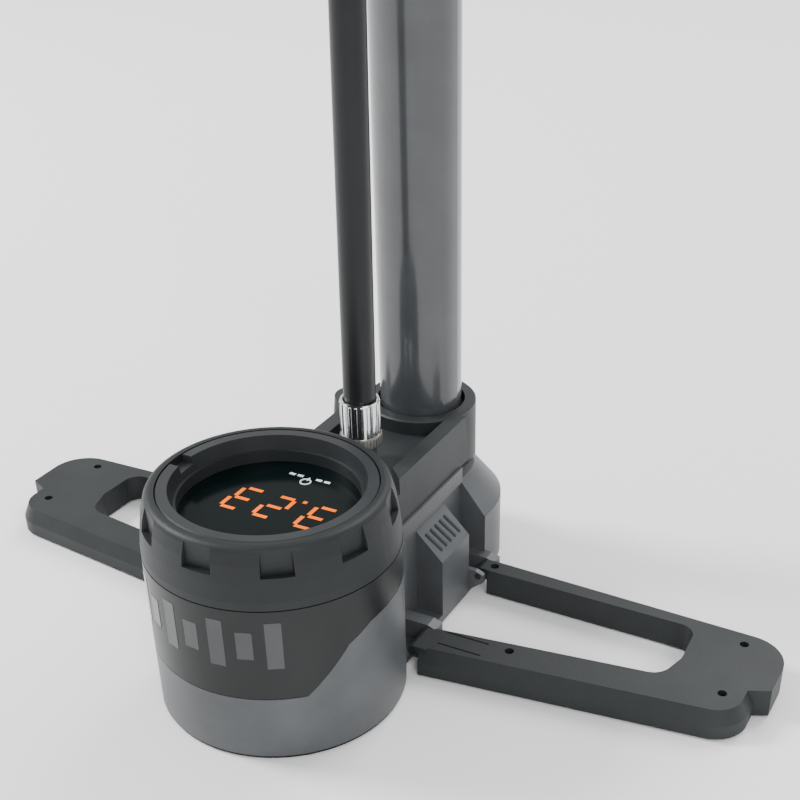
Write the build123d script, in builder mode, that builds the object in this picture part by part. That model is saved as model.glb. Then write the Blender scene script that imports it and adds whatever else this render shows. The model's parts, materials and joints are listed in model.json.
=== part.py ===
from build123d import *
import os
from math import pi, radians, tan

# Floor bike pump with folding feet and a digital gauge.  Millimetres.
# Origin on the floor under the barrel's axis, +Z up, gauge towards -Y,
# feet out along +X and -X, the rider stands on the +Y side.

os.makedirs("parts", exist_ok=True)

# ---- driving dimensions -------------------------------------------------
barrel_r = 15.0            # outside of the barrel
barrel_wall = 1.4
barrel_bottom = 12.0
barrel_top = 560.0
gauge_y = -101.5           # axis of the gauge and of the cup under it
cup_r = 41.4               # outside of the cup and of the dark band
wall = 2.6                 # plastic wall of the covers
gap = 0.3                  # clearance between pieces that don't touch
sole_t = 1.2               # rubber sole under the base
body_w = 33.5              # half width of the base
neck_w = 23.2              # half width of the neck, behind the folded feet
belt_z = 26.0              # top of the straight side walls
shoulder_z = 39.0          # top of the sloped shoulder
lip_z = 44.5               # top edge of the lower shell
wing_y = -14.0             # front face of the rear wings
rear_y = -7.7              # centre of the round rear
rim_low_z = 24.0           # cup's rim at the front
band_top_z = 57.0          # dark band meets the turning ring
cover_z = 61.5             # top of the upper cover
collar_r = 20.4            # collar round the barrel
hose_y = -44.3             # axis of the hose outlet
hose_r = 5.6
foot_h = 11.0
hinge_x = 37.2             # axis of the foot's hinge
hinge_z = 8.8
hinge_pin_r = 1.3
knuckle_r = 2.2
rod_r = 6.0
stroke = 440.0             # travel of the handle
handle_z = 603.0           # axis of the grips with the handle down
handle_half = 122.0
guide_z = 386.0            # clip that holds the hose on the barrel
head_x = 39.0              # parked pump head
head_z = 341.0
head_r = 10.5
ferrule_r = 6.7
barrel_seat_r = barrel_r + 0.1
plate_top = 3.4            # plastic plate that closes the base from below
sole_inset = 0.6
door_r = 12.5              # battery door in the plate
screw_r = 1.5
screw_head_r = 2.8
screw_head_h = 1.3
screw_spots = [(-16.9, -30), (16.9, -30), (-27, gauge_y - 23.5), (27, gauge_y - 23.5)]
air_z = 8.0                # air way under the barrel
air_r = 2.0
fitting_r = 4.6            # brass fitting of the hose
rail_x = 16.3              # hollow between the two rails of the upper cover
recess_z = 56.0
skirt_r = cup_r - wall - gap
pcb_z = 62.4
lens_z = 68.6              # face of the display
lens_r = 29.5
bezel_r = 34.7
ring_top = 77.3
recess_r = 38.0            # finger recesses of the turning ring
recess_floor_z = 68.0
recess_count = 10
sensor_spot = (0, gauge_y + 20)
bore_r = barrel_r - barrel_wall
cap_r = 20.0               # cap on top of the barrel
hub_top = 616.0            # top of the handle's hub
bar_r = 9.0                # bar inside the grips
grip_r = 16.0
band_h = 14.0              # height of the clips on the barrel
band_r = 18.5
pad_h = 1.8                # rubber pads under the feet
foot_z = 0.6               # underside of a foot
hose_start = 74.0
hose_end = 370.0
guide_y = -37.8            # hose in its guide
neck_ring_r = 7.0          # neck of the pump head
valve_r = 3.9              # mouth for the tyre's valve
seal_r = 5.9
head_clip_h = 12.0


def finish(piece, name):
    """label a finished piece and write it"""
    piece.part.label = name
    export_step(piece.part, f"parts/{name}.step")


def ring(z, height, outer, inner, centre=(0, 0)):
    """a plain tube standing at height z"""
    with BuildSketch(Plane.XY.offset(z)) as outline:
        with Locations(centre):
            Circle(outer)
            Circle(inner, mode=Mode.SUBTRACT)
    extrude(outline.sketch, amount=height)


def disc(centre, z, height, radius, mode=Mode.ADD):
    """a round disc or hole standing at height z"""
    with BuildSketch(Plane.XY.offset(z)) as outline:
        with Locations(centre):
            Circle(radius)
    extrude(outline.sketch, amount=height, mode=mode)


def block(x, y, z, mode=Mode.ADD):
    """a box from three pairs of limits"""
    with BuildSketch(Plane.XY.offset(z[0])) as outline:
        with Locations(((x[0] + x[1]) / 2, (y[0] + y[1]) / 2)):
            Rectangle(x[1] - x[0], y[1] - y[0])
    extrude(outline.sketch, amount=z[1] - z[0], mode=mode)


def bar_y(x, z, radius, y0, y1, mode=Mode.ADD):
    """a round bar or hole along Y"""
    with BuildSketch(Plane.XZ.offset(-y1)) as outline:
        with Locations((x, z)):
            Circle(radius)
    extrude(outline.sketch, amount=y1 - y0, mode=mode)


# ---- lower shell of the base --------------------------------------------
# side view of everything above the cup's rim: low at the front, rising to the lip
rim = [
    (-160, rim_low_z),
    (gauge_y - 29.5, rim_low_z),
    (gauge_y - 17.5, 39.0),
    (gauge_y - 9.0, 43.2),
    (gauge_y + 2.0, lip_z),
    (gauge_y + 60.0, lip_z),
    (gauge_y + 60.0, 90.0),
    (-160, 90.0),
]
lug_y = (-65.6, -60.5)     # hinge lug behind the front arm
ear_y = (-27.7, -25.7)     # ear in front of the rear arm
wing_lug_y = (-18.0, wing_y + 1)
badge_y = (-48.7, -27.5)   # centring block that the folded foot closes round
sill_z = 3.6


def hinge_lug(side, y):
    """arm of the base that carries the hinge pin"""
    with BuildSketch(Plane.XZ.offset(-y[1])) as outline:
        with BuildLine():
            Polyline(
                (side * (neck_w - 1), sole_t),
                (side * (body_w - 1), sole_t),
                (side * (hinge_x + knuckle_r), hinge_z - knuckle_r),
                (side * (hinge_x + knuckle_r), hinge_z + 1),
                (side * (hinge_x - 1), hinge_z + knuckle_r),
                (side * (neck_w - 1), hinge_z + knuckle_r),
                close=True,
            )
        make_face()
    extrude(outline.sketch, amount=y[1] - y[0])


with BuildPart() as base_shell:
    disc((0, gauge_y), sole_t, lip_z - sole_t, cup_r)
    block((-neck_w, neck_w), (gauge_y, wing_y), (sole_t, lip_z))
    block((-body_w, body_w), (-78, wing_y), (sole_t, sill_z))
    # straight part and round part of the rear, with the sloped shoulder
    for plane, turn in ((Plane.XZ.offset(-rear_y), 0), (Plane.XZ.offset(-rear_y), 180)):
        with BuildSketch(plane):
            with BuildLine():
                Polyline(
                    (0, sole_t),
                    (body_w, sole_t),
                    (body_w, belt_z),
                    (neck_w, shoulder_z),
                    (0, shoulder_z),
                    close=True,
                )
            make_face()
            if turn == 0:
                mirror(about=Plane.YZ)
        if turn == 0:
            extrude(amount=rear_y - wing_y)
        else:
            revolve(axis=Axis((0, rear_y, 0), (0, 0, 1)), revolution_arc=turn)
    disc((0, 0), sole_t, lip_z - 5.0 - sole_t, collar_r)
    for side in (1, -1):
        with BuildSketch(Plane.XZ.offset(-badge_y[1])):
            with BuildLine():
                Polyline(
                    (side * (neck_w - 1), sole_t),
                    (side * body_w, sole_t),
                    (side * body_w, belt_z),
                    (side * neck_w, belt_z + body_w - neck_w),
                    (side * (neck_w - 1), belt_z + body_w - neck_w),
                    close=True,
                )
            make_face()
        extrude(amount=badge_y[1] - badge_y[0])
        # lip along the neck and down beside the cup
        lip_x = sorted((side * (neck_w - 1), side * (neck_w + 0.9)))
        block(lip_x, (-66, wing_y), (lip_z - 6.0, lip_z))
        block(lip_x, (-67, -58), (sill_z, lip_z))
        for y in (lug_y, ear_y, wing_lug_y):
            hinge_lug(side, y)
        bar_y(side * hinge_x, hinge_z, hinge_pin_r, -79, wing_y - 2, Mode.SUBTRACT)
    # everything above the rim
    with BuildSketch(Plane.YZ):
        with BuildLine():
            Polyline(*rim, close=True)
        make_face()
    extrude(amount=60, both=True, mode=Mode.SUBTRACT)
    # hollow cup and neck, and the seat of the barrel
    disc((0, gauge_y), sole_t, lip_z, cup_r - wall, Mode.SUBTRACT)
    block((wall - neck_w, neck_w - wall), (gauge_y, -24), (sole_t, lip_z), Mode.SUBTRACT)
    disc((0, 0), barrel_bottom, lip_z, barrel_seat_r, Mode.SUBTRACT)
    # air way from under the barrel to the manifold
    disc((0, 0), air_z, barrel_bottom - air_z, air_r, Mode.SUBTRACT)
    bar_y(0, air_z, air_r, -25, 0, Mode.SUBTRACT)
    # screw bosses
    for x, y in screw_spots:
        disc((x, y), plate_top, 8.0, 3.8)
        disc((x, y), plate_top, 8.0, screw_r, Mode.SUBTRACT)
finish(base_shell, "base_shell")

# ---- underside ----------------------------------------------------------
with BuildPart() as base_plate:
    disc((0, gauge_y), sole_t, plate_top - sole_t, cup_r - wall - gap)
    block(
        (wall + gap - neck_w, neck_w - wall - gap),
        (gauge_y, -24 - gap),
        (sole_t, plate_top),
    )
    disc((0, gauge_y), sole_t, plate_top, door_r + gap, Mode.SUBTRACT)
    for spot in screw_spots:
        disc(spot, sole_t, plate_top, screw_r, Mode.SUBTRACT)
        disc(spot, sole_t, screw_head_h, screw_head_r, Mode.SUBTRACT)
finish(base_plate, "base_plate")

with BuildPart() as base_sole:
    disc((0, gauge_y), 0, sole_t, cup_r - sole_inset)
    block(
        (sole_inset - body_w, body_w - sole_inset),
        (-78 + sole_inset, rear_y),
        (0, sole_t),
    )
    disc((0, rear_y), 0, sole_t, body_w - sole_inset)
    disc((0, gauge_y), 0, sole_t, door_r + 2, Mode.SUBTRACT)
    for spot in screw_spots:
        disc(spot, 0, sole_t, screw_head_r + gap, Mode.SUBTRACT)
finish(base_sole, "base_sole")

with BuildPart() as base_screws:
    for spot in screw_spots:
        disc(spot, sole_t, screw_head_h, screw_head_r - 0.1)
        disc(spot, sole_t, 9.0, screw_r - 0.05)
        disc(spot, sole_t, 0.8, 1.1, Mode.SUBTRACT)
finish(base_screws, "base_screws")

with BuildPart() as battery_door:
    disc((0, gauge_y), 0.5, plate_top - 0.5, door_r)
    block((-8, 8), (gauge_y - 1, gauge_y + 1), (0.5, 1.6), Mode.SUBTRACT)
finish(battery_door, "battery_door")

with BuildPart() as battery:
    disc((0, gauge_y), plate_top, 3.2, 10.0)
finish(battery, "battery")

with BuildPart() as battery_holder:
    disc((0, gauge_y), plate_top, 5.0, 14.5)
    disc((0, gauge_y), plate_top, 3.2, 10.1, Mode.SUBTRACT)
finish(battery_holder, "battery_holder")

# ---- upper cover with the collar of the barrel --------------------------
with BuildPart() as top_cover:
    with BuildSketch(Plane.XY.offset(lip_z)):
        with Locations((0, -41)):
            Rectangle(2 * neck_w, 70)
    extrude(amount=cover_z - lip_z, taper=4)
    block((-rail_x, rail_x), (-80, 0), (recess_z, cover_z), Mode.SUBTRACT)
    # the rails end obliquely in front of the turning ring
    with BuildSketch(Plane.XY.offset(recess_z)):
        with BuildLine():
            Polyline(
                (-30, -65.7),
                (-16, -51.5),
                (16, -51.5),
                (30, -65.7),
                (30, -80),
                (-30, -80),
                close=True,
            )
        make_face()
    extrude(amount=10, mode=Mode.SUBTRACT)
    disc((0, 0), lip_z - 5, cover_z - lip_z + 5, collar_r)
    # rounded lug on the left of the collar
    with BuildSketch(Plane.XY.offset(lip_z - 5)):
        with Locations((-22.6, -9.6)):
            Circle(9.6)
        with Locations((-14, -9.6)):
            Rectangle(17.2, 19.2)
    extrude(amount=cover_z - lip_z + 5, taper=5)
    block((-60, 60), (-60, wing_y), (lip_z - 6, lip_z), Mode.SUBTRACT)
    # room inside for the manifold, seat of the hose fitting, bore of the barrel
    block((-19.5, 19.5), (-80, -24), (lip_z, recess_z - wall), Mode.SUBTRACT)
    disc((0, hose_y), lip_z, cover_z, fitting_r, Mode.SUBTRACT)
    disc((0, 0), lip_z - 6, 30, barrel_seat_r, Mode.SUBTRACT)
    disc((0, 0), cover_z - 4, 30, barrel_r + 1.3, Mode.SUBTRACT)
    disc((0, gauge_y), lip_z, 30, cup_r + 0.4, Mode.SUBTRACT)
    rim_edges = top_cover.edges().filter_by(GeomType.CIRCLE).group_by(Axis.Z)[-1]
    chamfer(rim_edges.filter_by(lambda e: abs(e.radius - collar_r) < 0.1), 0.5)
finish(top_cover, "top_cover")

# ---- gauge --------------------------------------------------------------
with BuildPart() as gauge_band:
    disc((0, gauge_y), rim_low_z, band_top_z - rim_low_z, cup_r)
    with BuildSketch(Plane.YZ):
        with BuildLine():
            Polyline(*[(y, z + gap) for y, z in rim[:6]], (0, 0), (-160, 0), close=True)
        make_face()
    extrude(amount=60, both=True, mode=Mode.SUBTRACT)
    disc((0, gauge_y), 12, band_top_z - 12, skirt_r)
    disc((0, gauge_y), 12, band_top_z, skirt_r - 2.4, Mode.SUBTRACT)
finish(gauge_band, "gauge_band")

with BuildPart() as gauge_tray:
    disc((0, gauge_y), 46, band_top_z - 46, skirt_r - 2.5)
    disc((0, gauge_y), 48, band_top_z, skirt_r - 5, Mode.SUBTRACT)
    with BuildSketch(Plane.XY.offset(48)):
        with Locations((0, gauge_y)):
            with PolarLocations(25, 3, start_angle=30):
                Circle(2.2)
    extrude(amount=pcb_z - 48)
    disc(sensor_spot, 40, 10, 3.0, Mode.SUBTRACT)
finish(gauge_tray, "gauge_tray")

gauge_plane = Plane(origin=(0, gauge_y, 0), x_dir=(1, 0, 0), z_dir=(0, -1, 0))
gauge_axis = Axis((0, gauge_y, 0), (0, 0, 1))
with BuildPart() as gauge_ring:
    with BuildSketch(gauge_plane):
        with BuildLine():
            Polyline(
                (38.6, ring_top - 1.9),
                (39.7, 71.5),
                (40.6, 66.0),
                (cup_r - 0.1, 60.0),
                (cup_r - 0.1, band_top_z + gap),
                (bezel_r + gap, band_top_z + gap),
                (bezel_r + gap, ring_top),
                (36.2, ring_top),
            )
            ThreePointArc((36.2, ring_top), (37.7, ring_top - 0.6), (38.6, ring_top - 1.9))
        make_face()
    revolve(axis=gauge_axis)
    # ten finger recesses
    with BuildSketch(Plane.XY.offset(recess_floor_z)):
        with Locations((0, gauge_y)):
            with PolarLocations(recess_r + 6, recess_count, start_angle=-90):
                Trapezoid(12.4, 6.0, 75, rotation=90, align=(Align.CENTER, Align.MIN))
    extrude(amount=20, mode=Mode.SUBTRACT)
finish(gauge_ring, "gauge_ring")

with BuildPart() as inner_bezel:
    with BuildSketch(gauge_plane):
        with BuildLine():
            Polyline(
                (lens_r + 0.4, band_top_z),
                (bezel_r, band_top_z),
                (bezel_r, ring_top - 0.4),
                (bezel_r - 0.4, ring_top),
                (31.0, ring_top),
                (lens_r + 0.4, 72.5),
                (lens_r + 0.4, 66.2),
                (28.7, 66.2),
                (28.7, 65.0),
                (lens_r + 0.4, 63.8),
                close=True,
            )
        make_face()
    revolve(axis=gauge_axis)
    block((-40, -28), (gauge_y - 4.2, gauge_y + 2.8), (ring_top - 2.6, ring_top + 1), Mode.SUBTRACT)
finish(inner_bezel, "inner_bezel")

with BuildPart() as lens_ring:
    ring(lens_z, 3.9, lens_r + 0.35, lens_r - 0.6, (0, gauge_y))
finish(lens_ring, "lens_ring")

with BuildPart() as display_lens:
    disc((0, gauge_y), lens_z - 1.6, 1.6, lens_r + 0.1)
finish(display_lens, "display_lens")

with BuildPart() as lens_gasket:
    ring(lens_z - 2.4, 0.8, lens_r + 0.1, 27.6, (0, gauge_y))
finish(lens_gasket, "lens_gasket")

with BuildPart() as lcd_module:
    block((-22, 22), (gauge_y - 13, gauge_y + 13), (pcb_z + 1.6, lens_z - 1.8))
finish(lcd_module, "lcd_module")

with BuildPart() as gauge_board:
    disc((0, gauge_y), pcb_z, 1.6, 28.5)
finish(gauge_board, "gauge_board")

with BuildPart() as pressure_sensor:
    disc(sensor_spot, pcb_z - 5, 5, 4.5)
    disc(sensor_spot, pcb_z - 9, 4, 1.6)
finish(pressure_sensor, "pressure_sensor")

# ---- air path inside the base -------------------------------------------
with BuildPart() as air_manifold:
    block((-8, 8), (-50, -24), (4, 16))
    disc((0, hose_y), 16, 34, fitting_r - 0.1)
    disc((0, hose_y), air_z - air_r, 50, 1.5, Mode.SUBTRACT)
    bar_y(0, air_z, air_r, -46, -24, Mode.SUBTRACT)
finish(air_manifold, "air_manifold")

with BuildPart() as sensor_tube:
    with BuildLine() as tube_path:
        FilletPolyline(
            (0, -50, air_z),
            (sensor_spot[0], sensor_spot[1], air_z),
            (sensor_spot[0], sensor_spot[1], pcb_z - 9),
            radius=10,
        )
    with BuildSketch(Plane.XZ.offset(50)):
        with Locations((0, air_z)):
            Circle(2.0)
    sweep(path=tube_path.line)
finish(sensor_tube, "sensor_tube")

with BuildPart() as outlet_fitting:
    disc((0, hose_y), 50, 6, fitting_r - 0.1)
    disc((0, hose_y), recess_z, 8, 5.5)
    disc((0, hose_y), 64, hose_start - 64.2, 3.0)
    disc((0, hose_y), 50, hose_start - 50, 1.5, Mode.SUBTRACT)
finish(outlet_fitting, "outlet_fitting")

with BuildPart() as hose_nut:
    ring(64, 3.8, 7.0, 3.1, (0, hose_y))
finish(hose_nut, "hose_nut")

with BuildPart() as hose_ferrule:
    ring(67.8, 12.8, ferrule_r, hose_r + 0.3, (0, hose_y))
    ring(67.8, hose_start - 68, hose_r + 0.1, 3.1, (0, hose_y))
finish(hose_ferrule, "hose_ferrule")

# ---- barrel and what stays in it ----------------------------------------
with BuildPart() as barrel:
    ring(barrel_bottom, barrel_top - barrel_bottom, barrel_r, bore_r)
finish(barrel, "barrel")

with BuildPart() as barrel_plug:
    disc((0, 0), barrel_bottom, 12, bore_r - 0.1)
    disc((0, 0), barrel_bottom, 12, air_r, Mode.SUBTRACT)
    with BuildSketch(Plane.XY.offset(17)):
        Circle(bore_r)
        Circle(11.5, mode=Mode.SUBTRACT)
    extrude(amount=2.4, mode=Mode.SUBTRACT)
finish(barrel_plug, "barrel_plug")

with BuildPart() as plug_seal:
    ring(17, 2.4, bore_r - 0.02, 11.5)
finish(plug_seal, "plug_seal")

with BuildPart() as check_valve:
    disc((0, 0), 24, 0.8, 6.0)
finish(check_valve, "check_valve")

with BuildPart() as rod_bush:
    ring(530, 30, bore_r - 0.1, rod_r + 0.05)
finish(rod_bush, "rod_bush")

with BuildPart() as top_cap:
    ring(540, 20, cap_r, barrel_seat_r)
    ring(560, 10, cap_r, rod_r + 0.4)
    outer_edges = top_cap.edges().filter_by(GeomType.CIRCLE)
    fillet(outer_edges.filter_by(lambda e: abs(e.radius - cap_r) < 0.1).group_by(Axis.Z)[-1], 2.5)
finish(top_cap, "top_cap")

# ---- piston and handle --------------------------------------------------
with BuildPart() as piston_rod:
    disc((0, 0), 46, 554, rod_r)
    disc((0, 0), 29, 17, 3.0)
    disc((0, 0), 588, 14, 3.0, Mode.SUBTRACT)
finish(piston_rod, "piston_rod")

with BuildPart() as piston:
    ring(34, 12, bore_r - gap, 3.05)
    with BuildSketch(Plane.XY.offset(38)):
        Circle(bore_r)
        Circle(11.5, mode=Mode.SUBTRACT)
    extrude(amount=3, mode=Mode.SUBTRACT)
finish(piston, "piston")

with BuildPart() as piston_cup:
    ring(38, 3, bore_r - 0.08, 11.5)
finish(piston_cup, "piston_cup")

with BuildPart() as piston_nut:
    with BuildSketch(Plane.XY.offset(29)):
        RegularPolygon(5.5, 6)
        Circle(3.05, mode=Mode.SUBTRACT)
    extrude(amount=5)
finish(piston_nut, "piston_nut")

with BuildPart() as bumper:
    ring(571.0, 4.0, 12.0, rod_r + 0.1)
finish(bumper, "bumper")

with BuildPart() as handle_core:
    disc((0, 0), 575, hub_top - 575, grip_r)
    with BuildSketch(Plane.YZ):
        with Locations((0, handle_z)):
            Circle(bar_r)
    extrude(amount=handle_half - 4, both=True)
    disc((0, 0), 575, 25, rod_r + 0.1, Mode.SUBTRACT)
    disc((0, 0), 575, 40, 3.1, Mode.SUBTRACT)
    disc((0, 0), 606, 10, 5.5, Mode.SUBTRACT)
finish(handle_core, "handle_core")

with BuildPart() as handle_screw:
    disc((0, 0), 606, 5, 5.3)
    disc((0, 0), 590, 16, 2.9)
    with BuildSketch(Plane.XY.offset(609)):
        RegularPolygon(2.6, 6)
    extrude(amount=2, mode=Mode.SUBTRACT)
finish(handle_screw, "handle_screw")

for side, name in ((1, "grip_right"), (-1, "grip_left")):
    with BuildPart() as grip:
        with BuildSketch(Plane.XZ):
            with BuildLine():
                Polyline((side * 22, handle_z + bar_r + 0.1), (side * 22, handle_z + grip_r - 1))
                Spline(
                    (side * 22, handle_z + grip_r - 1),
                    (side * 62, handle_z + grip_r + 1),
                    (side * 100, handle_z + grip_r - 1.5),
                    (side * 118, handle_z + grip_r),
                )
                Polyline(
                    (side * 118, handle_z + grip_r),
                    (side * 118, handle_z + bar_r + 0.1),
                    (side * 22, handle_z + bar_r + 0.1),
                )
            make_face()
        revolve(axis=Axis((0, 0, handle_z), (1, 0, 0)))
    finish(grip, name)

with BuildPart() as grip_caps:
    for x in (-handle_half, handle_half - 4):
        with BuildSketch(Plane.YZ.offset(x)) as outline:
            with Locations((0, handle_z)):
                Circle(14.5)
        extrude(outline.sketch, amount=4)
finish(grip_caps, "grip_caps")

# ---- clips on the barrel and the parked pump head -----------------------
with BuildPart() as hose_guide:
    ring(guide_z - band_h / 2, band_h, band_r, barrel_seat_r)
    with BuildSketch(Plane.XY.offset(guide_z - band_h / 2)) as outline:
        with Locations((0, guide_y)):
            Circle(hose_r + 2.6)
        with Locations((0, -24)):
            Rectangle(9, 14)
        with Locations((0, guide_y)):
            Circle(hose_r + 0.4, mode=Mode.SUBTRACT)
        with Locations((0, guide_y - 8)):
            Rectangle(8.4, 10, mode=Mode.SUBTRACT)
        Circle(barrel_seat_r, mode=Mode.SUBTRACT)
    extrude(outline.sketch, amount=band_h)
finish(hose_guide, "hose_guide")

with BuildPart() as head_clip:
    ring(head_z + head_r + gap, head_clip_h, band_r, barrel_seat_r)
    with BuildSketch(Plane.XY.offset(head_z + head_r + gap)) as outline:
        with Locations((head_x, 0)):
            Circle(10.0)
        with Locations((24, 0)):
            Rectangle(18, 9)
        with Locations((head_x, 0)):
            Circle(neck_ring_r + 0.1, mode=Mode.SUBTRACT)
        with Locations((head_x + 8, 0)):
            Rectangle(12, 10.5, mode=Mode.SUBTRACT)
        Circle(barrel_seat_r, mode=Mode.SUBTRACT)
    extrude(outline.sketch, amount=head_clip_h)
finish(head_clip, "head_clip")

with BuildPart() as head_body:
    bar_y(head_x, head_z, head_r, -20, 22)
    disc((head_x, 0), head_z, hose_end - 6 - head_z, neck_ring_r)
    bar_y(head_x, head_z, seal_r + 0.1, -20, 12, Mode.SUBTRACT)
    block((head_x - 3.2, head_x + 3.2), (11, 30), (head_z - 20, head_z + 8), Mode.SUBTRACT)
    with BuildSketch(Plane.YZ.offset(head_x - head_r - 1)):
        with Locations((16.5, head_z)):
            Circle(1.55)
    extrude(amount=2 * head_r + 2, mode=Mode.SUBTRACT)
finish(head_body, "head_body")

with BuildPart() as head_nut:
    bar_y(head_x, head_z, head_r - 0.8, -27, -20)
    bar_y(head_x, head_z, 4.6, -27, -20, Mode.SUBTRACT)
    bar_y(head_x, head_z, seal_r + 0.1, -22, -20, Mode.SUBTRACT)
finish(head_nut, "head_nut")

with BuildPart() as head_seal:
    bar_y(head_x, head_z, seal_r, -22, 8)
    bar_y(head_x, head_z, valve_r, -22, 4, Mode.SUBTRACT)
finish(head_seal, "head_seal")

with BuildPart() as head_pin:
    with BuildSketch(Plane.YZ.offset(head_x - 9)):
        with Locations((16.5, head_z)):
            Circle(1.5)
    extrude(amount=18)
finish(head_pin, "head_pin")

with BuildPart() as head_lever:
    with BuildSketch(Plane.YZ.offset(head_x - 2.8)):
        with BuildLine():
            Polyline(
                (13.6, head_z + 2.4),
                (19.4, head_z + 2.4),
                (24.5, head_z - 12),
                (25.5, head_z - 44),
                (21.5, head_z - 44),
                (17.5, head_z - 13),
                (13.6, head_z - 3.0),
                close=True,
            )
        make_face()
        with Locations((16.5, head_z)):
            Circle(1.57, mode=Mode.SUBTRACT)
    extrude(amount=5.6)
finish(head_lever, "head_lever")

with BuildPart() as head_ferrule:
    ring(hose_end - 6, 20, ferrule_r, hose_r + 0.1, (head_x, 0))
    disc((head_x, 0), hose_end - 6, 6, hose_r + 0.1)
finish(head_ferrule, "head_ferrule")

# ---- hose ---------------------------------------------------------------
# up from the base, through the guide, round in front of the handle and down to the head
route = [
    (0, hose_y, hose_start),
    (0, -42.3, 170),
    (0, -38.4, 300),
    (0, -37.6, 425),
    (-14, -39, 492),
    (-45, -43, 562),
    (-45, -45, 611),
    (-20, -46.5, 645.5),
    (20, -47, 658.5),
    (60, -46, 645.5),
    (85, -44, 611),
    (85, -38, 556),
    (72, -27, 494),
    (52, -10, 450),
    (head_x, 0, 412),
    (head_x, 0, hose_end),
]
points = [Vector(*p) for p in route]
runs = [b - a for a, b in zip(points, points[1:])]
bends = []
for a, b in zip(runs, runs[1:]):
    half_turn = radians(a.get_angle(b)) / 2
    bends.append(0.45 * min(a.length, b.length) / tan(half_turn))
print("bend radii", [round(r) for r in bends])
with BuildPart() as hose:
    with BuildLine() as hose_path:
        FilletPolyline(*route, radius=bends)
    with BuildSketch(Plane(origin=route[0], z_dir=runs[0].normalized())):
        Circle(hose_r)
    sweep(path=hose_path.line)
finish(hose, "hose")
hose_length = sum(edge.length for edge in hose_path.edges())
print("hose length", round(hose_length), "volume", round(hose.part.volume))
print("section x length", round(pi * hose_r**2 * hose_length))

# ---- folding feet -------------------------------------------------------
# seen from above: outside of the foot, then the opening, for the right foot
outside = [
    (hinge_x + 2.5, -80.1),
    (148.5, -67.1),
    (148.5, -50.2),
    (153.4, -48.0),
    (153.4, -21.8),
    (hinge_x + 2.5, -18.4),
]
opening = [
    (hinge_x, -66.4),
    (118.0, -55.7),
    (121.3, -44.0),
    (120.4, -25.6),
    (hinge_x, -25.2),
]
for side, name in ((1, "foot_right"), (-1, "foot_left")):
    with BuildPart() as foot:
        with BuildSketch(Plane.XY.offset(foot_z)) as plan:
            with BuildLine():
                Polyline(*[(side * x, y) for x, y in outside], close=True)
            make_face()
            for x, y, radius in ((148.5, -67.1, 12), (153.4, -21.8, 14)):
                corner = plan.vertices().sort_by_distance((side * x, y, 0))[0]
                fillet(corner, radius)
        extrude(amount=foot_h - foot_z)
        top_front = foot.edges().group_by(Axis.Z)[-1].sort_by(Axis.Y)[0]
        chamfer(top_front, 5.3, 2.3, reference=foot.faces().sort_by(Axis.Y)[0])
        # knuckles round the pin
        for y0, y1 in ((-78.5, -66.6), (-25.0, -18.6)):
            bar_y(side * hinge_x, hinge_z, knuckle_r, y0, y1)
            knuckle_x = sorted((side * hinge_x, side * (hinge_x + 5)))
            block(knuckle_x, (y0, y1), (hinge_z - knuckle_r, foot_h))
        with BuildSketch(Plane.XY.offset(foot_z)) as window:
            with BuildLine():
                Polyline(*[(side * x, y) for x, y in opening], close=True)
            make_face()
            for x, y, radius in ((118.0, -55.7, 7), (121.3, -44.0, 7), (120.4, -25.6, 6)):
                corner = window.vertices().sort_by_distance((side * x, y, 0))[0]
                fillet(corner, radius)
        extrude(amount=foot_h, mode=Mode.SUBTRACT)
        bar_y(side * hinge_x, hinge_z, hinge_pin_r + 0.05, -90, 0, Mode.SUBTRACT)
        for x, y in ((41.3, -21.6), (67.8, -66.5), (139.2, -56.3), (137.9, -27.3)):
            disc((side * x, y), foot_h - 3, 4, 1.6, Mode.SUBTRACT)
        # two grooves of the generic panel near the hinge
        for y in (-66.5, -73.5):
            groove_x = sorted((side * 44, side * 60))
            block(groove_x, (y, y + 0.6), (foot_h - 0.5, foot_h + 1), Mode.SUBTRACT)
        block(sorted((side * 128, side * 146)), (-60, -30), (0, pad_h), Mode.SUBTRACT)
    finish(foot, name)

    with BuildPart() as pad:
        block(sorted((side * 128, side * 146)), (-60, -30), (0, pad_h))
    finish(pad, f"pad_{name[5:]}")

with BuildPart() as hinge_pins:
    for side in (1, -1):
        for y0, y1 in ((-78.2, lug_y[1]), (ear_y[0], wing_y - 2.2)):
            bar_y(side * hinge_x, hinge_z, hinge_pin_r - 0.02, y0, y1)
finish(hinge_pins, "hinge_pins")
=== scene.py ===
import bpy
import json
import math
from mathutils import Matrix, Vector


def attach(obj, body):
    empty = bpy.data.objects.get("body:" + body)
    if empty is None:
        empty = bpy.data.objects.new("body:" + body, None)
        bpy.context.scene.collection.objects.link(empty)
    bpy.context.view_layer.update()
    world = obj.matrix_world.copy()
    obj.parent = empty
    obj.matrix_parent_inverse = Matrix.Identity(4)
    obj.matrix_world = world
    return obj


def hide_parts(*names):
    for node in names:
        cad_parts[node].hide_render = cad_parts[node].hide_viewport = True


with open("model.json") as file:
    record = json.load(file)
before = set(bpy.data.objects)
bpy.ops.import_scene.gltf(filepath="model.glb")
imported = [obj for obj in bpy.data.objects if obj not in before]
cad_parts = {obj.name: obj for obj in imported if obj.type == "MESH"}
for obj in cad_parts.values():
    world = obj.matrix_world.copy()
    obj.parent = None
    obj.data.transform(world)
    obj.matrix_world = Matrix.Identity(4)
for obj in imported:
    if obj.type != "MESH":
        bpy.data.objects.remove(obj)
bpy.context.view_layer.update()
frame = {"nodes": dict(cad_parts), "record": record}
nodes = {name: bpy.data.objects[name] for name in frame["nodes"]}

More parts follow.
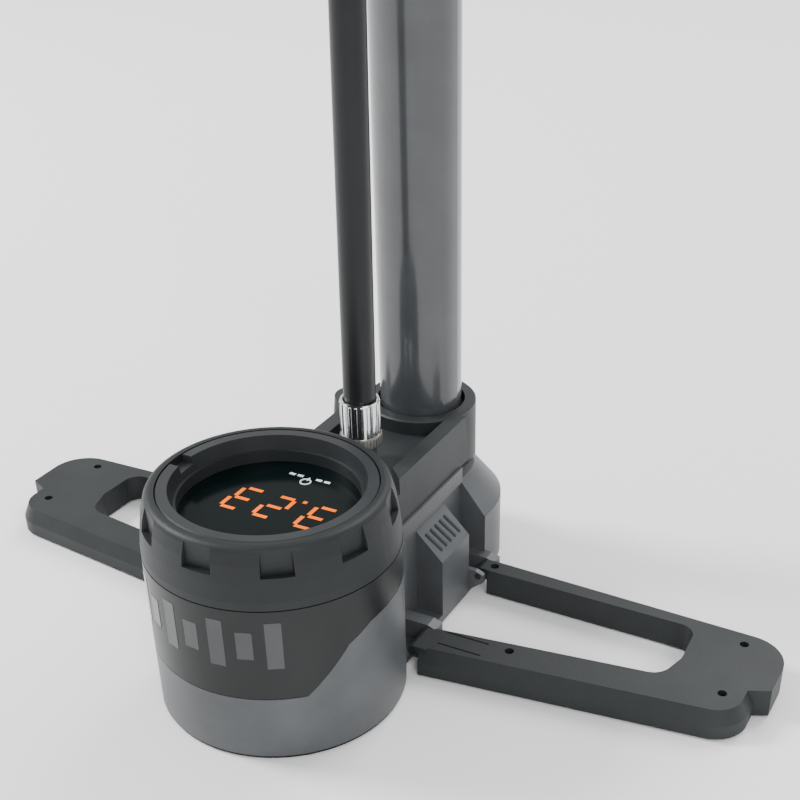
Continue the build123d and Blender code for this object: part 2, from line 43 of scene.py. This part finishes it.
# camera in front of the pump and to its right, looking down at the gauge
camData = bpy.data.cameras.new("camera")
camData.lens = 61.3
camData.sensor_width = 36
camData.shift_x = -0.069
camData.shift_y = 0.2566
camera = bpy.data.objects.new("camera", camData)
camera.location = (0.2159, -0.4041, 0.2887)
camera.rotation_euler = (math.radians(90 - 35.1), 0, math.radians(26.53))
bpy.context.collection.objects.link(camera)
bpy.context.scene.camera = camera


# materials, one recipe: mottled colour, uneven roughness and a fine moulded grain
def makeMaterial(spec):
    mat = bpy.data.materials.new(spec["name"])
    mat.use_nodes = True
    tree = mat.node_tree
    shader = tree.nodes["Principled BSDF"]
    shader.inputs["Metallic"].default_value = spec.get("metal", 0)
    shader.inputs["Specular IOR Level"].default_value = spec.get("specular", 0.5)
    if spec.get("coat"):
        shader.inputs["Coat Weight"].default_value = spec["coat"]
        shader.inputs["Coat Roughness"].default_value = 0.08
    coord = tree.nodes.new("ShaderNodeTexCoord")
    mapping = tree.nodes.new("ShaderNodeMapping")
    mapping.inputs["Scale"].default_value = spec.get("stretch", (1, 1, 1))
    tree.links.new(coord.outputs["Object"], mapping.inputs["Vector"])
    # mottled colour
    mottle = tree.nodes.new("ShaderNodeTexNoise")
    mottle.inputs["Scale"].default_value = spec.get("mottle", 60)
    mottle.inputs["Detail"].default_value = 5
    ramp = tree.nodes.new("ShaderNodeValToRGB")
    low = [c * spec.get("dark", 0.86) for c in spec["colour"]]
    high = [c * spec.get("light", 1.14) for c in spec["colour"]]
    ramp.color_ramp.elements[0].position = 0.3
    ramp.color_ramp.elements[1].position = 0.7
    ramp.color_ramp.elements[0].color = (*low, 1)
    ramp.color_ramp.elements[1].color = (*high, 1)
    tree.links.new(mapping.outputs["Vector"], mottle.inputs["Vector"])
    tree.links.new(mottle.outputs["Fac"], ramp.inputs["Fac"])
    tree.links.new(ramp.outputs["Color"], shader.inputs["Base Color"])
    # uneven roughness
    wear = tree.nodes.new("ShaderNodeTexNoise")
    wear.inputs["Scale"].default_value = spec.get("wear", 25)
    wear.inputs["Detail"].default_value = 6
    spread = tree.nodes.new("ShaderNodeMapRange")
    spread.inputs["To Min"].default_value = spec["rough"] - spec.get("roughSpread", 0.07)
    spread.inputs["To Max"].default_value = spec["rough"] + spec.get("roughSpread", 0.07)
    tree.links.new(mapping.outputs["Vector"], wear.inputs["Vector"])
    tree.links.new(wear.outputs["Fac"], spread.inputs["Value"])
    tree.links.new(spread.outputs["Result"], shader.inputs["Roughness"])
    # moulded grain
    grain = tree.nodes.new("ShaderNodeTexNoise")
    grain.inputs["Scale"].default_value = spec.get("grain", 1800)
    grain.inputs["Detail"].default_value = 3
    bump = tree.nodes.new("ShaderNodeBump")
    bump.inputs["Strength"].default_value = spec.get("bump", 0.25)
    bump.inputs["Distance"].default_value = 0.0002
    tree.links.new(mapping.outputs["Vector"], grain.inputs["Vector"])
    tree.links.new(grain.outputs["Fac"], bump.inputs["Height"])
    tree.links.new(bump.outputs["Normal"], shader.inputs["Normal"])
    if spec.get("glow"):
        shader.inputs["Emission Color"].default_value = (*spec["colour"], 1)
        shader.inputs["Emission Strength"].default_value = spec["glow"]
    return mat


specs = {
    "shell_plastic": dict(colour=(0.07, 0.075, 0.08), rough=0.42, specular=0.4, grain=1500, bump=0.35),
    "cover_plastic": dict(colour=(0.02, 0.0235, 0.025), rough=0.5, specular=0.3, grain=1300, bump=0.3),
    "ring_plastic": dict(colour=(0.013, 0.0155, 0.0165), rough=0.5, specular=0.28, grain=1300, bump=0.3),
    "band_gloss": dict(colour=(0.009, 0.0105, 0.011), rough=0.34, specular=0.3, bump=0.1),
    "bezel_plastic": dict(colour=(0.022, 0.025, 0.027), rough=0.4, specular=0.3, grain=1700, bump=0.2),
    "display_glass": dict(colour=(0.002, 0.005, 0.0052), rough=0.14, specular=0.08, bump=0.02,
                          roughSpread=0.03),
    "inner_plastic": dict(colour=(0.06, 0.06, 0.06), rough=0.55),
    "board": dict(colour=(0.02, 0.1, 0.04), rough=0.45),
    "black_rubber": dict(colour=(0.008, 0.008, 0.009), rough=0.72, specular=0.25, grain=900, bump=0.4),
    "hose_rubber": dict(colour=(0.008, 0.009, 0.01), rough=0.4, specular=0.3, grain=700, bump=0.12),
    "foot_plastic": dict(colour=(0.018, 0.021, 0.0225), rough=0.5, specular=0.3, grain=1200, bump=0.35),
    "barrel_paint": dict(colour=(0.05, 0.054, 0.058), rough=0.2, coat=0.3, grain=2500, bump=0.05),
    "chrome_metal": dict(colour=(0.78, 0.79, 0.8), rough=0.12, metal=1, bump=0.04, roughSpread=0.05),
    "dull_metal": dict(colour=(0.36, 0.35, 0.33), rough=0.42, metal=1, grain=900, bump=0.3),
    "steel": dict(colour=(0.55, 0.55, 0.55), rough=0.3, metal=1, stretch=(1, 1, 12)),
    "brass_metal": dict(colour=(0.6, 0.44, 0.2), rough=0.3, metal=1),
    "head_plastic": dict(colour=(0.014, 0.015, 0.017), rough=0.35, specular=0.35, grain=1500, bump=0.2),
    "grip_rubber": dict(colour=(0.013, 0.013, 0.014), rough=0.7, specular=0.3, grain=600, bump=0.5),
    "digit_orange": dict(colour=(0.9, 0.15, 0.004), rough=0.5, glow=0.45, specular=0.05, bump=0.0),
    "block_gloss": dict(colour=(0.03, 0.032, 0.034), rough=0.14, specular=0.6, bump=0.02),
    "mark_white": dict(colour=(0.75, 0.78, 0.78), rough=0.45, bump=0.0),
    "floor_white": dict(colour=(0.93, 0.93, 0.93), rough=0.9, dark=1, light=1, specular=0.1, bump=0.0),
}
mats = {name: makeMaterial({**spec, "name": name}) for name, spec in specs.items()}
print("materials", len(mats))

slotOf = {row["node"]: row["material_slot"] for row in frame["record"]["subparts"]}
for name, obj in nodes.items():
    obj.data.materials.clear()
    obj.data.materials.append(mats[slotOf[name]])
# the pins are shown blackened and the fitting dull
nodes["hinge_pins"].data.materials[0] = mats["head_plastic"]
nodes["outlet_fitting"].data.materials[0] = mats["dull_metal"]


def ready(obj, name, material, body="base"):
    obj.name = name
    obj.data.materials.clear()
    obj.data.materials.append(mats[material])
    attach(obj, body)
    return obj


# hose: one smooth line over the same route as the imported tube
hoseRoute = [
    (0, -44.3, 74), (0, -42.3, 170), (0, -38.4, 300), (0, -37.6, 425),
    (-14, -39, 492), (-45, -43, 562), (-45, -45, 611), (-20, -46.5, 645.5),
    (20, -47, 658.5), (60, -46, 645.5), (85, -44, 611), (85, -38, 556),
    (72, -27, 494), (52, -10, 450), (39, 0, 412), (39, 0, 370),
]
hoseData = bpy.data.curves.new("hose_line", "CURVE")
hoseData.dimensions = "3D"
hoseData.bevel_depth = 0.0056
hoseData.bevel_resolution = 8
hoseData.resolution_u = 24
hoseData.use_fill_caps = True
line = hoseData.splines.new("NURBS")
line.points.add(len(hoseRoute) - 1)
for spot, place in zip(line.points, hoseRoute):
    spot.co = (place[0] / 1000, place[1] / 1000, place[2] / 1000, 1)
line.order_u = 3
line.use_endpoint_u = True
hoseObj = bpy.data.objects.new("hose_line", hoseData)
bpy.context.collection.objects.link(hoseObj)
ready(hoseObj, "hose_line", "hose_rubber")
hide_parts("hose")
print("hose done")


# one object from the pieces that build makes
def editPiece(name, material, body, build, bevel=0.0):
    bpy.ops.object.select_all(action="DESELECT")
    made = build()
    for obj in made:
        obj.select_set(True)
    bpy.context.view_layer.objects.active = made[0]
    if len(made) > 1:
        bpy.ops.object.join()
    obj = bpy.context.view_layer.objects.active
    bpy.ops.object.transform_apply(location=True, rotation=True, scale=True)
    if bevel:
        mod = obj.modifiers.new("round", "BEVEL")
        mod.width = bevel
        mod.segments = 2
        mod.limit_method = "ANGLE"
        bpy.ops.object.modifier_apply(modifier="round")
    return ready(obj, name, material, body)


def addBox(centre, size, turn=(0, 0, 0)):
    bpy.ops.mesh.primitive_cube_add(size=1, location=centre, rotation=turn)
    obj = bpy.context.active_object
    obj.scale = size
    return obj


gaugeY = -0.1015
displayTop = 0.06872
inkHeight = 0.0001
figureShift = 0.002
figureLean = 0.18
barLong = 0.0050
barThick = 0.0014

# seven bar figures and marks on the display, read from the rider's side
figures = {"2": "abged", "3": "abgcd"}
bars = {
    "a": (0, 1, 1), "g": (0, 0, 1), "d": (0, -1, 1),
    "b": (1, 0.5, 0), "c": (1, -0.5, 0), "e": (-1, -0.5, 0),
}


def buildFigures():
    made = []
    for place, figure in ((-0.0145, "3"), (0.0005, "2"), (0.0125, "3")):
        for key in figures[figure]:
            across, up, flat = bars[key]
            x = place + across * 0.0034
            y = up * 0.0064
            size = (barLong, barThick, inkHeight) if flat else (barThick, barLong, inkHeight)
            made.append(addBox((figureShift - x - y * figureLean, gaugeY - y, displayTop), size))
    # decimal point
    made.append(addBox((0.0088, gaugeY + 0.0066, displayTop), (barThick, barThick, inkHeight)))
    return made


editPiece("display_digits", "digit_orange", "base", buildFigures)


def buildMarks():
    made = []
    # row of plain unit ticks and a power sign
    for x in (-0.0045, -0.0015, 0.0055, 0.0085):
        made.append(addBox((x, gaugeY + 0.0205, displayTop), (0.0021, 0.0011, inkHeight)))
    bpy.ops.mesh.primitive_torus_add(location=(figureShift, gaugeY + 0.0178, displayTop),
                                     major_radius=0.0017, minor_radius=0.00025,
                                     major_segments=32, minor_segments=6)
    made.append(bpy.context.active_object)
    made.append(addBox((figureShift, gaugeY + 0.0196, displayTop), (0.0005, 0.0018, inkHeight)))
    return made


editPiece("display_marks", "mark_white", "base", buildMarks)
print("display done")


hoseFoot = (0, -0.0443)
parkedHead = (0.039, 0)
fluteDepth = 0.0006


# bars round a sleeve or nut, from low to high
def buildFlutes(centre, radius, low, high, count, width):
    made = []
    for step in range(count):
        turn = step * 2 * math.pi / count
        x = centre[0] + radius * math.cos(turn)
        y = centre[1] + radius * math.sin(turn)
        size = (fluteDepth, width, high - low)
        made.append(addBox((x, y, (low + high) / 2), size, (0, 0, turn)))
    return made


editPiece("sleeve_flutes", "chrome_metal", "base",
          lambda: buildFlutes(hoseFoot, 0.0067, 0.0684, 0.0800, 20, 0.0011), 0.00022)
editPiece("nut_knurl", "dull_metal", "base",
          lambda: buildFlutes(hoseFoot, 0.0070, 0.0642, 0.0676, 36, 0.0006), 0.0001)
editPiece("head_sleeve_flutes", "chrome_metal", "base",
          lambda: buildFlutes(parkedHead, 0.0067, 0.3650, 0.3832, 20, 0.0011), 0.00022)


# slanted ribs moulded on the sloped face of each side block
def buildRibs(side):
    made = []
    slope = math.radians(45)
    for step in range(5):
        y = -0.0450 + step * 0.0035
        made.append(addBox((side * 0.02835, y, 0.03115), (0.0085, 0.0014, 0.0007),
                           (0, side * slope, side * 0.25)))
    return made


for side, name in ((1, "ribs_right"), (-1, "ribs_left")):
    editPiece(name, "cover_plastic", "base", lambda: buildRibs(side), 0.0002)


handleHeight = 0.603


# raised rings of the rubber grips
def buildGripRings(side):
    made = []
    for step in range(9):
        x = side * (0.032 + step * 0.0096)
        bpy.ops.mesh.primitive_torus_add(location=(x, 0, handleHeight), rotation=(0, math.pi / 2, 0),
                                         major_radius=0.0155, minor_radius=0.0013,
                                         major_segments=64, minor_segments=10)
        made.append(bpy.context.active_object)
    return made


for side, name in ((1, "grip_rings_right"), (-1, "grip_rings_left")):
    editPiece(name, "grip_rubber", "handle", lambda: buildGripRings(side))


bandRadius = 0.0413
bandMiddle = 0.0445


# glossy blocks on the dark band, tall and short in turn
def buildBand():
    made = []
    for step in range(7):
        turn = math.radians(-133 + step * 12.5)
        x = bandRadius * math.cos(turn)
        y = gaugeY + bandRadius * math.sin(turn)
        height = 0.010 if step % 2 else 0.017
        made.append(addBox((x, y, bandMiddle), (0.0003, 0.0052, height), (0, 0, turn)))
    return made


editPiece("band_blocks", "block_gloss", "base", buildBand, 0.0001)
print("trim done")

# floor and soft studio light
bpy.ops.object.select_all(action="DESELECT")
bpy.ops.mesh.primitive_plane_add(size=12, location=(0, 0, -0.0002))
floor = bpy.context.active_object
floor.name = "floor"
floor.data.materials.append(mats["floor_white"])

lights = [
    dict(place=(-1.5, -0.3, 1.3), size=0.5, power=42),
    dict(place=(1.5, -1.7, 1.5), size=0.8, power=26),
    dict(place=(0.3, 1.5, 1.9), size=1.2, power=34),
]
for number, row in enumerate(lights):
    lamp = bpy.data.lights.new(f"softbox_{number}", "AREA")
    lamp.energy = row["power"]
    lamp.size = row["size"]
    lampObj = bpy.data.objects.new(f"softbox_{number}", lamp)
    lampObj.location = row["place"]
    aim = Vector((0, -0.05, 0.1)) - Vector(row["place"])
    lampObj.rotation_euler = aim.to_track_quat("-Z", "Y").to_euler()
    bpy.context.collection.objects.link(lampObj)
world = bpy.data.worlds.new("world")
world.use_nodes = True
sky = world.node_tree.nodes["Background"]
sky.inputs["Color"].default_value = (1, 1, 1, 1)
sky.inputs["Strength"].default_value = 1.0
bpy.context.scene.world = world
print("lights done")
